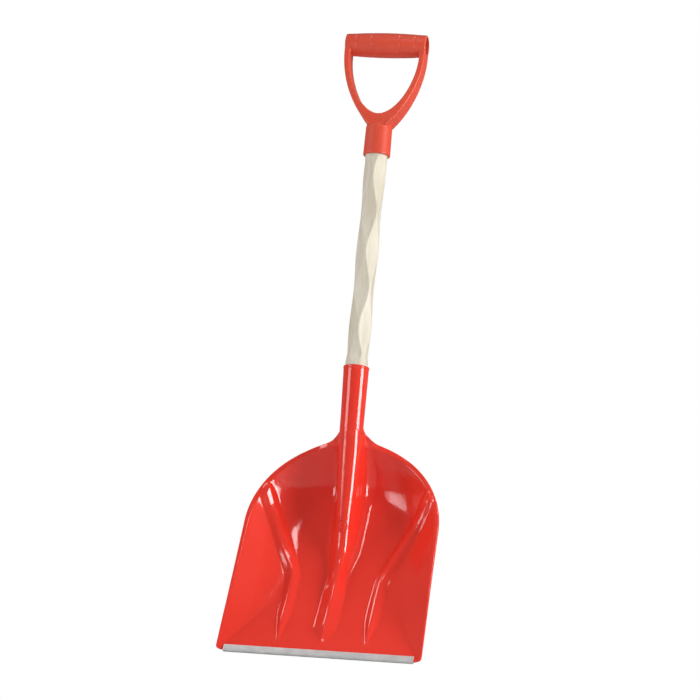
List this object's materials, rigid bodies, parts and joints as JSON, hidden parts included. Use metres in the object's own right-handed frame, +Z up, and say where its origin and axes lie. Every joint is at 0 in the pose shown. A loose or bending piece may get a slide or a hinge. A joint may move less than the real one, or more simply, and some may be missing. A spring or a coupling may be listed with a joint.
{
  "type": "snow shovel",
  "caption": "Long-handled snow and avalanche shovel: ribbed moulded scoop with a metal-bound edge, scalloped wooden shaft and D-shaped hand grip.",
  "frame": {"origin": "middle of the shovel's box in X and Y, at its lowest point, which is the corner of the metal edge", "axes": "+Z up along the shaft, +X to the right of someone facing the open scoop, which faces -Y"},
  "size_m": [0.332, 0.1522, 1.0636],
  "materials": {
    "scoop_plastic": "glossy injection-moulded plastic, red",
    "grip_plastic": "satin moulded plastic, orange-red",
    "shaft_wood": "pale bare wood with hewn scallops",
    "edge_metal": "brushed mill-finish aluminium",
    "screw_steel": "bright zinc"
  },
  "bodies": {
    "root": {"scoop": "scoop_plastic", "edge_strip": "edge_metal", "shaft": "shaft_wood", "grip": "grip_plastic", "socket_screw": "screw_steel", "collar_screw": "screw_steel"}
  },
  "joints": []
}
